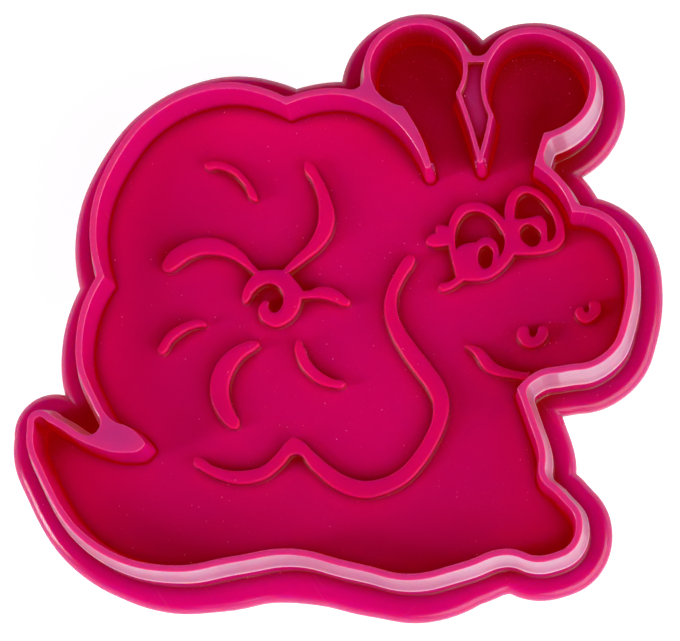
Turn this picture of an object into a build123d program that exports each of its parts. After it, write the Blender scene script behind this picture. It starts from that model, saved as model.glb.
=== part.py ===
from build123d import *

import os
from math import cos, degrees, hypot, pi, sin, sqrt

# Snail-shaped plunger cutter, millimetres. The part stands on the flat end of its press knob with
# the cutting edge up: +Z points out of the mouth of the cutter, +X to the snail's head, +Y to the
# antennae. The origin is the centre of the knob's end face, on the plunger's axis.

# Figure
FIGURE_LENGTH = 65.0  # cut figure from the snail's snout to its tail
PERCENT = FIGURE_LENGTH / 100  # the outline tables below are hundredths of that length

# Skirt, bevelled edge and finger flange
EDGE_LAND = 0.7  # flat top of the cutting edge
NOTCH_ROUND = 1.4  # outer notches are filled up to this radius
GROOVE_LAND = 0.45  # edge left on both sides of the groove between the antennae
GROOVE_DEPTH = 0.8
BEVEL_WIDTH = 0.75  # how far the outer bevel leans out
BEVEL_HEIGHT = 6.0
DRAFT_WIDTH = 0.35  # how far the mouth opens from the plate's face at rest up to the edge
CORNER_ROUND = 0.15  # radius at the edge of the corners that point into the mouth
SKIRT_DEPTH = 10.0  # from the cutting edge down to the flange's face
FLANGE_REACH = 2.5  # flange beyond the skirt's wall
FLANGE_THICKNESS = 2.6
LIP_ROUND = 1.1  # rounding of the flange's lip, both sides
DECK_THICKNESS = 2.0

# Stamp plate
STAMP_DEPTH = 7.0  # plate's face below the cutting edge at rest
RELIEF_HEIGHT = 1.6
STAMP_GAP = 0.2  # running gap between the plate and the skirt
STAMP_THICKNESS = 1.8
RIM_WALL = 1.2  # guiding rim behind the plate
STAMP_STOP_GAP = 0.1  # rim above the deck at rest

# Plunger
TRAVEL = 8.0
STEM_DIAMETER = 7.0
STEM_CHAMFER = 0.6
STEM_CLEARANCE = 0.1  # on the radius, in the deck
SOCKET_DEPTH = 2.5  # stem in the plate's boss
BOSS_WALL = 1.8
RIB_THICKNESS = 1.2

# Return spring
WIRE_DIAMETER = 1.0
BOSS_GAP = 1.2  # between the bosses and the wire, on the radius
SPRING_CLEARANCE = 0.7  # spring inside the collar, on the radius
SPRING_SEAT = 0.1  # wire off its two seats
SPRING_TURNS = 6
SPRING_END_GAP = 0.5  # between the closed end turns
SLOPE_SPAN = 0.125  # share of a turn, either side, over which the wire's slope is averaged

# Collar and press knob, from the stem's boss outwards
COLLAR_WALL = 1.8
COLLAR_DIAMETER = STEM_DIAMETER + 2 * (
    BOSS_WALL + BOSS_GAP + WIRE_DIAMETER + SPRING_CLEARANCE + COLLAR_WALL
)
COLLAR_OVERLAP = 2.0  # knob's skirt over the collar at rest
COLLAR_GUSSET = 5.0  # gussets between the collar and the deck
GUSSET_THICKNESS = 1.5
GUSSETS = 4
KNOB_CLEARANCE = 0.4  # on the radius, knob over collar
KNOB_WALL = 2.6
KNOB_DIAMETER = COLLAR_DIAMETER + 2 * (KNOB_CLEARANCE + KNOB_WALL)
KNOB_FLOOR = 2.6
KNOB_MARGIN = 1.0  # left between the knob's rim and the deck when pressed home
KNOB_ROUND = 2.0
KNOB_RIM_ROUND = 0.8
KNOB_SOCKET = 4.0  # stem in the knob's boss

OVERRUN = 1.0  # cutting tools pass their faces by this
SEAM_OVERLAP = 0.3  # band sections reach this far into the solid that they join
SEAM_TOLERANCE = 0.001  # faces closer than this are joined as one
SIDE_STEP = 0.03  # step off an outline's edge that tells its inner side
LEAST_BEND = 0.001  # sine of the angle below which an arc is drawn as a line
LEAST_TURN = 1e-9  # turn between two directions below which they count as one
COIL_STEPS = 24  # points in each turn of the spring where its gap to itself is measured
COIL_SKIP = 16  # neighbours along the wire that the measurement leaves out

# Heights
KNOB_DEPTH = COLLAR_OVERLAP + TRAVEL + KNOB_MARGIN
KNOB_TOP = KNOB_FLOOR + KNOB_DEPTH
DECK_UNDER = KNOB_TOP + TRAVEL + KNOB_MARGIN
DECK_TOP = DECK_UNDER + DECK_THICKNESS
FLANGE_FACE = DECK_UNDER + FLANGE_THICKNESS
EDGE_TOP = FLANGE_FACE + SKIRT_DEPTH
BEVEL_FOOT = EDGE_TOP - BEVEL_HEIGHT
COLLAR_END = KNOB_TOP - COLLAR_OVERLAP
STAMP_FACE = EDGE_TOP - STAMP_DEPTH
STAMP_BACK = STAMP_FACE - STAMP_THICKNESS
STAMP_REST = DECK_TOP + STAMP_STOP_GAP

# Radii
COLLAR_RADIUS = COLLAR_DIAMETER / 2
COLLAR_BORE = COLLAR_RADIUS - COLLAR_WALL
KNOB_RADIUS = KNOB_DIAMETER / 2
KNOB_BORE = COLLAR_RADIUS + KNOB_CLEARANCE
STEM_RADIUS = STEM_DIAMETER / 2
BOSS_RADIUS = STEM_RADIUS + BOSS_WALL
SPRING_RADIUS = COLLAR_BORE - SPRING_CLEARANCE - WIRE_DIAMETER / 2

# Outline of the cut figure, clockwise in runs from corner to corner. Every run is a chain of
# tangent arcs through its points.
FIGURE_SHARES = (
    # shell: lower left, upper left and top lobes
    ((-32.3, -21.9), (-34.3, -19.7), (-38.3, -17.7), (-41.0, -13.4), (-42.9, -8.7), (-43.1, -3.7),
     (-42.1, 1.3), (-39.6, 6.3)),
    ((-39.6, 6.3), (-41.0, 11.7), (-40.7, 18.7), (-37.5, 26.6), (-32.8, 32.8), (-26.2, 36.9),
     (-19.1, 38.3), (-13.3, 37.2), (-9.3, 35.4)),
    ((-9.3, 35.4), (-4.8, 36.8), (0.1, 37.0), (4.7, 35.5), (9.4, 32.1), (12.5, 28.0), (14.1, 24.5)),
    # blunt end of the fin between the shell and the left antenna
    ((14.1, 24.5), (14.6, 24.3), (15.0, 25.0)),
    ((15.0, 25.0), (13.8, 28.7), (10.32, 34.92)),
    # left antenna
    ((10.32, 34.92), (8.02, 35.71), (5.7, 37.9), (4.8, 41.3), (5.9, 45.2), (8.8, 47.9), (12.8, 49.0),
     (17.0, 47.8), (19.8, 44.6), (20.5, 40.8), (19.3, 37.2)),
    # channel between the antennae
    ((19.3, 37.2), (21.0, 32.3), (22.9, 25.6)),
    ((22.9, 25.6), (23.20, 25.15), (23.7, 25.8)),
    ((23.7, 25.8), (24.7, 29.4), (25.5, 33.4)),
    # right antenna
    ((25.5, 33.4), (24.2, 37.4), (25.0, 42.6), (27.8, 46.1), (32.1, 47.2), (36.9, 45.8),
     (40.5, 42.5), (41.7, 38.1), (40.2, 33.8), (37.3, 31.3), (34.0, 30.1)),
    ((34.0, 30.1), (33.2, 27.7), (32.4, 24.7)),
    # brow, snout and chin
    ((32.4, 24.7), (35.1, 22.6), (37.3, 19.8), (38.6, 16.6)),
    ((38.6, 16.6), (41.6, 16.3), (44.7, 14.6), (47.0, 10.8), (47.8, 5.1), (47.0, -1.0),
     (45.1, -5.8), (41.9, -8.3), (37.39, -9.13), (32.8, -10.1), (29.4, -13.0)),
    # front of the foot, toe, sole and tail
    ((29.4, -13.0), (31.3, -18.3), (32.9, -23.3), (33.2, -27.8), (36.2, -30.9), (38.9, -34.7),
     (38.2, -38.4), (34.2, -40.5), (27.0, -39.5), (20.3, -41.7), (11.8, -43.6), (2.8, -41.8),
     (-8.6, -39.4), (-17.6, -40.7), (-26.4, -42.2), (-36.1, -40.6), (-43.3, -35.9),
     (-48.4, -28.2), (-51.1, -19.8), (-50.5, -17.4), (-48.2, -18.4), (-42.3, -21.8),
     (-36.2, -23.4), (-33.1, -22.9), (-32.3, -21.9)),
)

# Flat web that fills the fin's slender wedge, inside the two edges that meet there
FIN_SHARES = ((5.6, 36.3), (10.7, 35.4), (12.7, 30.8), (14.0, 26.8), (9.1, 31.3), (4.7, 34.9))

# Window that holds the groove between the antennae
GROOVE_SHARES = ((20.0, 25.0), (17.0, 36.0), (20.0, 42.4), (25.0, 42.4), (28.0, 33.0), (25.0, 25.0))

# Flatter sole of the flange, closed inside the figure
SOLE_SHARES = (
    ((20.3, -41.7), (13.5, -44.3), (5.1, -43.4), (-3.6, -41.5), (-12.4, -41.0), (-21.3, -42.5),
     (-29.5, -42.7), (-36.0, -40.6)),
    ((-36.0, -40.6), (-36.0, -37.0), (-36.0, -34.0)),
    ((-36.0, -34.0), (-8.0, -34.0), (20.3, -34.0)),
    ((20.3, -34.0), (20.3, -38.0), (20.3, -41.7)),
)

# Raised lines of the stamp plate. A run that ends where it starts is smooth all round.
SWIRL_SHARES = (
    # left petal, over the ring's crown, and up the left side of the top petal
    ((-31.0, 9.6), (-30.2, 11.2), (-28.0, 13.0), (-25.0, 14.2), (-22.2, 14.3), (-19.6, 13.4),
     (-17.2, 11.7), (-15.4, 9.5), (-14.4, 8.5)),
    ((-14.4, 8.5), (-12.5, 8.7), (-10.3, 8.6)),
    ((-10.3, 8.6), (-8.2, 10.9), (-6.1, 13.1), (-4.8, 15.5), (-4.3, 18.1), (-4.5, 20.7),
     (-5.4, 23.6), (-6.8, 26.7), (-6.5, 27.4), (-5.9, 27.2), (-4.2, 24.9), (-2.8, 22.1),
     (-1.9, 19.5), (-1.7, 17.1), (-2.4, 14.6), (-3.9, 12.5), (-6.2, 10.6), (-9.4, 8.2)),
    # ring's shoulder and the right petal
    ((-9.4, 8.2), (-8.0, 6.5), (-6.9, 5.0)),
    ((-6.9, 5.0), (-5.8, 5.1), (-4.2, 5.7), (-2.6, 5.7), (-1.0, 5.0), (0.3, 3.9), (1.1, 3.0),
     (0.8, 2.6), (0.0, 2.6), (-1.6, 3.2), (-3.6, 3.8), (-5.6, 3.9), (-7.2, 3.7)),
    # ring, its curled inner end and its pointed outer end
    ((-7.2, 3.7), (-7.5, 2.3), (-8.4, 0.7), (-9.8, -0.5), (-11.3, -1.0), (-12.9, -0.6),
     (-14.1, 0.4), (-14.5, 1.7), (-14.0, 2.9), (-13.2, 3.4), (-12.7, 3.2), (-12.8, 2.5),
     (-12.5, 1.7), (-11.8, 1.3), (-11.0, 1.6), (-10.4, 2.5), (-10.2, 3.7), (-10.6, 5.0),
     (-11.6, 6.1), (-12.9, 6.4), (-14.2, 5.9), (-15.4, 4.8), (-16.2, 3.5), (-16.7, 3.1),
     (-17.1, 3.4), (-17.2, 4.3), (-16.7, 5.9), (-15.2, 7.9)),
    ((-15.2, 7.9), (-16.8, 9.3), (-19.0, 10.7), (-21.6, 11.5), (-24.2, 11.5), (-26.4, 10.7),
     (-28.3, 9.4), (-29.6, 8.6), (-30.6, 8.7), (-31.0, 9.6)),
)
UPPER_ARC_SHARES = (
    ((-15.5, 20.8), (-17.4, 23.7), (-19.6, 25.7), (-21.7, 26.4), (-23.5, 26.3), (-24.0, 26.9),
     (-23.2, 27.4), (-21.2, 27.5), (-18.7, 26.4), (-16.5, 24.2), (-15.0, 21.6), (-14.9, 20.7),
     (-15.5, 20.8)),
)
LOWER_ARC_SHARES = (
    ((-23.3, -0.5), (-24.7, -0.9), (-26.3, -1.4), (-27.9, -2.4), (-29.3, -3.7), (-30.1, -5.1),
     (-30.9, -5.6), (-31.5, -5.1), (-31.1, -4.0), (-29.8, -2.1), (-28.0, -0.8), (-26.0, 0.0),
     (-24.1, 0.1), (-23.3, -0.5)),
)
CRESCENT_SHARES = (
    ((-14.2, -4.0), (-15.3, -3.5), (-17.2, -3.9), (-19.4, -5.2), (-21.3, -7.3), (-22.4, -10.1),
     (-22.4, -13.1), (-21.4, -15.7), (-20.0, -17.5), (-18.8, -18.3), (-17.7, -18.1),
     (-17.6, -17.2), (-18.5, -15.3), (-19.3, -13.1), (-19.3, -10.5), (-18.3, -8.0),
     (-16.7, -6.0), (-14.8, -4.7), (-14.2, -4.0)),
)
RIGHT_ARC_SHARES = (
    ((-7.6, -3.3), (-8.2, -4.3), (-8.0, -6.1), (-7.2, -7.9), (-5.8, -9.5), (-4.0, -10.8),
     (-2.0, -11.3), (0.0, -11.3), (0.4, -10.8), (0.0, -10.4), (-1.6, -10.1), (-3.2, -9.3),
     (-4.8, -8.0), (-6.0, -6.3), (-6.8, -4.3), (-7.6, -3.3)),
)
SHELL_LINE_SHARES = (
    ((-8.1, -22.7), (-5.1, -25.4), (-2.3, -27.9), (0.9, -29.6), (4.3, -30.1), (7.5, -29.3),
     (10.8, -27.5), (13.6, -24.5), (15.9, -20.8), (17.4, -17.1), (17.8, -13.9), (17.0, -11.0),
     (14.9, -7.9), (12.3, -4.5), (10.1, -1.3), (9.0, 1.6), (9.1, 4.5), (10.4, 7.4), (11.8, 9.6),
     (12.0, 10.6), (11.2, 11.2), (10.3, 10.6), (9.0, 8.6), (7.6, 5.8), (6.9, 3.0), (7.0, 0.4),
     (7.9, -2.4), (9.6, -5.5), (12.0, -9.0), (14.2, -12.0), (15.1, -14.4), (15.0, -16.9),
     (13.8, -19.9), (11.9, -22.9), (9.5, -25.4), (6.5, -26.9), (3.5, -27.3), (0.6, -26.5),
     (-2.3, -24.7), (-5.1, -22.3), (-7.3, -20.3), (-8.4, -19.9), (-9.5, -20.7), (-11.3, -22.9),
     (-13.5, -24.8), (-16.1, -25.5), (-19.1, -25.5), (-21.9, -24.7), (-24.1, -23.4),
     (-24.9, -23.4), (-25.2, -24.2), (-24.1, -25.2), (-21.7, -26.5), (-18.7, -27.5),
     (-15.7, -27.6), (-12.9, -26.8), (-10.3, -24.7), (-8.1, -22.7)),
)
EYES_SHARES = (
    # left ring's crown, right ring, and under both
    ((17.7, 15.9), (18.3, 17.7), (19.4, 19.3), (20.9, 20.0), (22.6, 20.1), (24.6, 19.4),
     (26.2, 18.0), (27.3, 16.9)),
    ((27.3, 16.9), (27.3, 19.4), (28.3, 21.7), (30.2, 22.8), (32.2, 22.4), (34.4, 20.9),
     (36.2, 18.5), (37.2, 15.7), (37.1, 13.3), (36.0, 12.0), (33.8, 11.3), (31.2, 11.1),
     (28.8, 11.1)),
    ((28.8, 11.1), (27.7, 9.5), (26.3, 8.1), (24.5, 7.0), (22.5, 6.7), (20.3, 6.8)),
    # short line below the left eye
    ((20.3, 6.8), (19.1, 5.9), (17.7, 5.1), (16.4, 5.0), (16.0, 5.5), (16.3, 6.1), (17.5, 6.3),
     (19.0, 7.2)),
    ((19.0, 7.2), (18.6, 8.8), (18.1, 10.8), (17.7, 12.8)),
    # two lashes
    ((17.7, 12.8), (16.1, 12.6), (14.7, 12.7), (13.9, 13.3), (14.2, 14.0), (15.7, 14.8)),
    ((15.7, 14.8), (15.5, 15.6), (15.9, 16.2), (16.6, 16.2), (17.7, 15.9)),
)
LEFT_OPENING_SHARES = (
    ((19.0, 11.9), (18.8, 14.4), (19.5, 16.8), (20.9, 18.3), (22.5, 18.6), (24.4, 17.8),
     (26.2, 15.8), (27.2, 13.4), (26.9, 11.6), (26.1, 10.4)),
    ((26.1, 10.4), (26.1, 12.2), (25.4, 13.5), (24.2, 14.0), (23.1, 13.7), (22.4, 13.1)),
    ((22.4, 13.1), (20.9, 13.0), (19.8, 12.6), (19.0, 11.9)),
)
LEFT_PUPIL_SHARES = (
    ((24.0, 12.6), (25.0, 11.9), (25.2, 10.4), (24.6, 8.9), (23.7, 8.6), (22.9, 9.4), (22.7, 10.9),
     (23.2, 12.2), (24.0, 12.6)),
)
RIGHT_OPENING_SHARES = (
    ((28.9, 17.2), (29.0, 19.2), (29.7, 21.0), (30.8, 21.6), (32.6, 20.9), (34.4, 19.0),
     (35.6, 16.7), (35.8, 14.7), (35.2, 13.5), (34.4, 13.2)),
    ((34.4, 13.2), (34.3, 15.1), (34.1, 16.6), (33.2, 17.6), (31.8, 17.4), (30.4, 17.1),
     (28.9, 17.2)),
)
RIGHT_PUPIL_SHARES = (
    ((31.1, 16.2), (32.5, 15.5), (33.3, 14.1), (33.0, 12.9), (32.0, 12.3), (30.6, 12.9),
     (29.8, 14.2), (29.9, 15.4), (31.1, 16.2)),
)
LEFT_NOSTRIL_SHARES = (
    ((29.7, -1.4), (29.2, -2.5), (29.7, -3.9), (31.1, -4.8), (32.8, -4.6), (34.1, -3.4),
     (34.5, -2.0), (33.8, -1.2), (32.9, -1.4), (32.6, -2.5), (31.9, -3.1), (31.3, -2.5),
     (31.2, -1.7), (30.6, -1.2), (29.7, -1.4)),
)
RIGHT_NOSTRIL_SHARES = (
    ((39.4, 1.8), (39.0, 0.9), (39.5, -0.1), (40.8, -0.7), (42.3, 0.0), (43.3, 1.4), (43.1, 2.7),
     (42.1, 3.1), (41.3, 2.6), (41.4, 1.7), (41.0, 1.0), (40.5, 1.3), (40.2, 1.9), (39.4, 1.8)),
)
MOUTH_SHARES = (
    ((20.3, -4.5), (21.7, -4.5), (23.2, -5.0), (24.3, -6.1), (25.7, -7.6), (27.7, -8.5),
     (31.3, -9.1)),
    ((31.3, -9.1), (31.4, -9.8), (31.3, -10.5)),
    ((31.3, -10.5), (28.1, -9.9), (25.9, -9.5), (24.1, -8.8), (22.9, -7.4), (22.0, -5.9),
     (20.3, -4.5)),
)


def unit(v):
    """Vector of length one along v."""
    n = hypot(v[0], v[1])
    return (v[0] / n, v[1] / n)


def mirrored(t, chord):
    """Direction at an arc's far end, from the one at its near end and its chord."""
    c = unit(chord)
    k = 2 * (c[0] * t[0] + c[1] * t[1])
    return unit((k * c[0] - t[0], k * c[1] - t[1]))


def through(p, q, r):
    """Direction at q of the circle through three points."""
    a = (q[0] - p[0], q[1] - p[1])
    b = (r[0] - q[0], r[1] - q[1])
    la = a[0] ** 2 + a[1] ** 2
    lb = b[0] ** 2 + b[1] ** 2
    return unit((a[0] / la + b[0] / lb, a[1] / la + b[1] / lb))


def directions(points):
    """Direction of a smooth run at each of its points."""
    inner = [through(*trio) for trio in zip(points, points[1:], points[2:])]
    if points[0] == points[-1]:
        seam = through(points[-2], points[0], points[1])
        return [seam, *inner, seam]
    first = (points[1][0] - points[0][0], points[1][1] - points[0][1])
    last = (points[-1][0] - points[-2][0], points[-1][1] - points[-2][1])
    return [mirrored(inner[0], first), *inner, mirrored(inner[-1], last)]


def arc(p, q, t):
    """Arc from p to q that leaves p along t, or a line where it would be straight."""
    c = unit((q[0] - p[0], q[1] - p[1]))
    if abs(t[0] * c[1] - t[1] * c[0]) < LEAST_BEND:
        return Line(p, q)
    return TangentArc(p, q, tangent=t)


def biarc(p, q, t, u):
    """Two tangent arcs from p to q that leave along t and arrive along u."""
    v = (q[0] - p[0], q[1] - p[1])
    vt = v[0] * (t[0] + u[0]) + v[1] * (t[1] + u[1])
    k = 2 * (1 - t[0] * u[0] - t[1] * u[1])
    vv = v[0] ** 2 + v[1] ** 2
    d = (sqrt(vt * vt + k * vv) - vt) / k if k > LEAST_TURN else vv / (2 * vt)
    m = ((p[0] + q[0] + d * (t[0] - u[0])) / 2, (p[1] + q[1] + d * (t[1] - u[1])) / 2)
    return [arc(p, m, t), arc(m, q, mirrored(t, (m[0] - p[0], m[1] - p[1])))]


def figure(runs):
    """Face inside an outline that is given in hundredths of the figure's length."""
    edges = []
    for run in runs:
        points = [(x * PERCENT, y * PERCENT) for x, y in run]
        along = directions(points)
        for i in range(len(points) - 1):
            edges += biarc(points[i], points[i + 1], along[i], along[i + 1])
    return Face(Wire(edges))


def polygon(shares):
    """Face between straight edges, its corners in hundredths of the figure's length."""
    return Face(Wire.make_polygon([Vector(x * PERCENT, y * PERCENT, 0) for x, y in shares]))


def grown(face, amount):
    """Face moved out, or in where negative, by one distance all round."""
    return offset(face, amount=amount, kind=Kind.ARC).faces()[0]


def slab(face, bottom, top):
    """Prism over a face between two heights."""
    return Solid.extrude(Pos(0, 0, bottom) * face, Vector(0, 0, top - bottom))


def clipped(section, low, high):
    """Section between two distances from the outline, as the centre of an arc allows."""
    box = section.bounding_box()
    if low <= box.min.X and high >= box.max.X:
        return section
    window = Pos((low + high) / 2, box.center().Y) * Rectangle(high - low, 2 * box.size.Y)
    return (section & window).faces()[0]


def band(face, section, reach, height):
    """Section carried round a face's outline, one solid for each of its arcs and lines."""
    solids = []
    for edge in face.outer_wire().edges():
        start, middle = edge @ 0, edge @ 0.5
        along = edge % 0.5
        out = Vector(along.Y, -along.X, 0)
        if face.is_inside(middle + out * SIDE_STEP):
            out = out * -1
        if edge.geom_type == GeomType.LINE:
            plane = Plane(origin=start, x_dir=out, z_dir=out.cross(Vector(0, 0, 1)))
            solid = Solid.extrude((plane * section).faces()[0], (edge @ 1) - start)
        else:
            centre = edge.arc_center
            radius = edge.radius
            convex = (middle - centre).dot(out) > 0
            low = max(-SEAM_OVERLAP, -radius) if convex else -SEAM_OVERLAP
            high = reach if convex else min(reach, radius)
            spoke = (start - centre).normalized() * (1 if convex else -1)
            plane = Plane(origin=start, x_dir=spoke, z_dir=spoke.cross(Vector(0, 0, 1)))
            turn = degrees(edge.length / radius)
            if (start - centre).cross(middle - centre).Z < 0:
                turn = -turn
            part = plane * clipped(section, low, high)
            solid = Solid.revolve(part.faces()[0], turn, Axis(centre, (0, 0, 1)))
        solids.append(Pos(0, 0, height) * solid)
    return solids


def bevel_section():
    """Wedge outside the cutting edge, from its flat top down to the full wall."""
    return make_face(Polyline(
        (-SEAM_OVERLAP, 0),
        (0, 0),
        (BEVEL_WIDTH, -BEVEL_HEIGHT),
        (-SEAM_OVERLAP, -BEVEL_HEIGHT),
        (-SEAM_OVERLAP, 0),
    )).faces()[0]


def draft_section():
    """Wedge that opens the mouth from the plate's face up past the cutting edge."""
    top = STAMP_DEPTH + OVERRUN
    return make_face(Polyline(
        (-SEAM_OVERLAP, 0),
        (0, 0),
        (DRAFT_WIDTH, STAMP_DEPTH),
        (DRAFT_WIDTH, top),
        (-SEAM_OVERLAP, top),
        (-SEAM_OVERLAP, 0),
    )).faces()[0]


def lip_section():
    """Rounded lip of the flange, from its under side up."""
    top = FLANGE_THICKNESS
    edges = [
        Line((-SEAM_OVERLAP, 0), (0, 0)),
        TangentArc((0, 0), (LIP_ROUND, LIP_ROUND), tangent=(1, 0)),
        Line((LIP_ROUND, LIP_ROUND), (LIP_ROUND, top - LIP_ROUND)),
        TangentArc((LIP_ROUND, top - LIP_ROUND), (0, top), tangent=(0, 1)),
        Line((0, top), (-SEAM_OVERLAP, top)),
        Line((-SEAM_OVERLAP, top), (-SEAM_OVERLAP, 0)),
    ]
    return Face(Wire(edges))


def cutter_shell():
    """Skirt with its bevelled edge, flange, deck and guide collar in one moulding."""
    cavity = figure(FIGURE_SHARES)
    body = (cavity + polygon(FIN_SHARES)).faces()[0]
    land = grown(grown(body, EDGE_LAND + NOTCH_ROUND), -NOTCH_ROUND)
    wall = grown(land, BEVEL_WIDTH)
    sole = (body + figure(SOLE_SHARES)).faces()[0]
    plate = grown(sole, EDGE_LAND + BEVEL_WIDTH + FLANGE_REACH - LIP_ROUND)
    shell = slab(wall, DECK_UNDER, BEVEL_FOOT).fuse(
        slab(land, DECK_UNDER, EDGE_TOP),
        *band(land, bevel_section(), BEVEL_WIDTH, EDGE_TOP),
        tol=SEAM_TOLERANCE,
    )
    flange = slab(plate, DECK_UNDER, FLANGE_FACE).fuse(
        *band(plate, lip_section(), LIP_ROUND, DECK_UNDER),
    )
    shell = shell.fuse(flange)
    guide = grown(grown(cavity, CORNER_ROUND), -CORNER_ROUND - DRAFT_WIDTH)
    mouth = slab(guide, DECK_TOP, EDGE_TOP + OVERRUN).fuse(
        *band(guide, draft_section(), DRAFT_WIDTH, STAMP_FACE),
        tol=SEAM_TOLERANCE,
    )
    shell = shell - mouth
    groove = (polygon(GROOVE_SHARES) - grown(body, GROOVE_LAND)).faces()[0]
    shell = shell - slab(groove, EDGE_TOP - GROOVE_DEPTH, EDGE_TOP + OVERRUN)
    # guide collar with gussets, then its bore and the stem's hole
    length = DECK_UNDER - COLLAR_END + SEAM_OVERLAP
    collar = Pos(0, 0, COLLAR_END + length / 2) * Cylinder(COLLAR_RADIUS, length)
    shell = shell + collar
    foot = COLLAR_RADIUS - SEAM_OVERLAP
    gusset = make_face(Polyline(
        (foot, DECK_UNDER + SEAM_OVERLAP),
        (COLLAR_RADIUS + COLLAR_GUSSET, DECK_UNDER + SEAM_OVERLAP),
        (COLLAR_RADIUS + COLLAR_GUSSET, DECK_UNDER),
        (COLLAR_RADIUS, DECK_UNDER - KNOB_MARGIN),
        (foot, DECK_UNDER - KNOB_MARGIN),
        (foot, DECK_UNDER + SEAM_OVERLAP),
    ))
    blade = extrude(Plane.XZ * gusset, amount=GUSSET_THICKNESS / 2, both=True)
    for turn in range(GUSSETS):
        shell = shell + Rot(0, 0, (turn + 0.5) * 360 / GUSSETS) * blade
    bore = DECK_UNDER - COLLAR_END + OVERRUN
    shell = shell - Pos(0, 0, DECK_UNDER - bore / 2) * Cylinder(COLLAR_BORE, bore)
    hole = DECK_THICKNESS + 2 * OVERRUN
    shell = shell - Pos(0, 0, DECK_UNDER + DECK_THICKNESS / 2) * Cylinder(
        STEM_RADIUS + STEM_CLEARANCE, hole
    )
    return shell


def relief_faces():
    """Faces of the raised lines, with the openings of the eyes left out."""
    eyes = figure(EYES_SHARES)
    openings = (LEFT_OPENING_SHARES, LEFT_PUPIL_SHARES, RIGHT_OPENING_SHARES, RIGHT_PUPIL_SHARES)
    for opening in openings:
        eyes = eyes - figure(opening)
    lines = (SWIRL_SHARES, UPPER_ARC_SHARES, LOWER_ARC_SHARES, CRESCENT_SHARES, RIGHT_ARC_SHARES,
             SHELL_LINE_SHARES, LEFT_NOSTRIL_SHARES, RIGHT_NOSTRIL_SHARES, MOUTH_SHARES)
    return [eyes.faces()[0]] + [figure(line) for line in lines]


def stamp_plate():
    """Embossed ejector plate with its guiding rim, ribs and boss."""
    outline = grown(figure(FIGURE_SHARES), -DRAFT_WIDTH - STAMP_GAP)
    inner = grown(figure(FIGURE_SHARES), -DRAFT_WIDTH - STAMP_GAP - RIM_WALL)
    plate = slab(outline, STAMP_REST, STAMP_FACE) - slab(inner, STAMP_REST - OVERRUN, STAMP_BACK)
    # boss for the stem and two ribs through it, up to the rim
    depth = STAMP_BACK - STAMP_REST + SEAM_OVERLAP
    middle = STAMP_REST + depth / 2
    plate = plate + Pos(0, 0, middle) * Cylinder(BOSS_RADIUS, depth)
    clear = slab(grown(inner, SEAM_OVERLAP), STAMP_REST, STAMP_BACK + SEAM_OVERLAP)
    for turn in (0, 90):
        rib = Pos(0, 0, middle) * Rot(0, 0, turn) * Box(2 * FIGURE_LENGTH, RIB_THICKNESS, depth)
        plate = plate + (rib & clear)
    length = SOCKET_DEPTH + OVERRUN
    socket = Pos(0, 0, STAMP_REST + SOCKET_DEPTH - length / 2) * Cylinder(STEM_RADIUS, length)
    plate = plate - socket
    # raised lines, the last of them trimmed by the plate's own outline
    root = STAMP_FACE - SEAM_OVERLAP
    crest = STAMP_FACE + RELIEF_HEIGHT
    lines = [slab(face, root, crest) for face in relief_faces()]
    prism = slab(outline, root, crest)
    lines[-1] = (lines[-1] & prism).solids()[0]
    return plate.fuse(*lines)


def plunger_stem():
    """Round stem from the knob's boss through the deck into the plate's boss."""
    bottom = KNOB_FLOOR
    top = STAMP_REST + SOCKET_DEPTH
    stem = Pos(0, 0, (bottom + top) / 2) * Cylinder(STEM_RADIUS, top - bottom)
    return chamfer(stem.edges().filter_by(GeomType.CIRCLE), length=STEM_CHAMFER)


def widest(solid):
    """The two widest circles of a turned solid, from the lower to the upper one."""
    circles = solid.edges().filter_by(GeomType.CIRCLE).sort_by(SortBy.RADIUS)
    return circles[-2:].sort_by(Axis.Z)


def press_knob():
    """Cup-shaped press knob that slides over the collar, with a boss for the stem."""
    profile = make_face(Polyline(
        (0, 0),
        (KNOB_RADIUS, 0),
        (KNOB_RADIUS, KNOB_TOP),
        (KNOB_BORE, KNOB_TOP),
        (KNOB_BORE, KNOB_FLOOR),
        (BOSS_RADIUS, KNOB_FLOOR),
        (BOSS_RADIUS, KNOB_FLOOR + KNOB_SOCKET),
        (STEM_RADIUS, KNOB_FLOOR + KNOB_SOCKET),
        (STEM_RADIUS, KNOB_FLOOR),
        (0, KNOB_FLOOR),
        (0, 0),
    ))
    knob = revolve(Plane.XZ * profile, Axis.Z)
    knob = fillet(widest(knob)[0], radius=KNOB_ROUND)
    return fillet(widest(knob)[-1], radius=KNOB_RIM_ROUND)


def spring_height(turn, bottom, top):
    """Height of the wire's centre after a number of turns: closed ends, open middle."""
    end_pitch = WIRE_DIAMETER + SPRING_END_GAP
    open_pitch = (top - bottom - 2 * end_pitch) / (SPRING_TURNS - 2)
    if turn <= 1:
        return bottom + end_pitch * turn
    if turn >= SPRING_TURNS - 1:
        return top - end_pitch * (SPRING_TURNS - turn)
    return bottom + end_pitch + open_pitch * (turn - 1)


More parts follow.
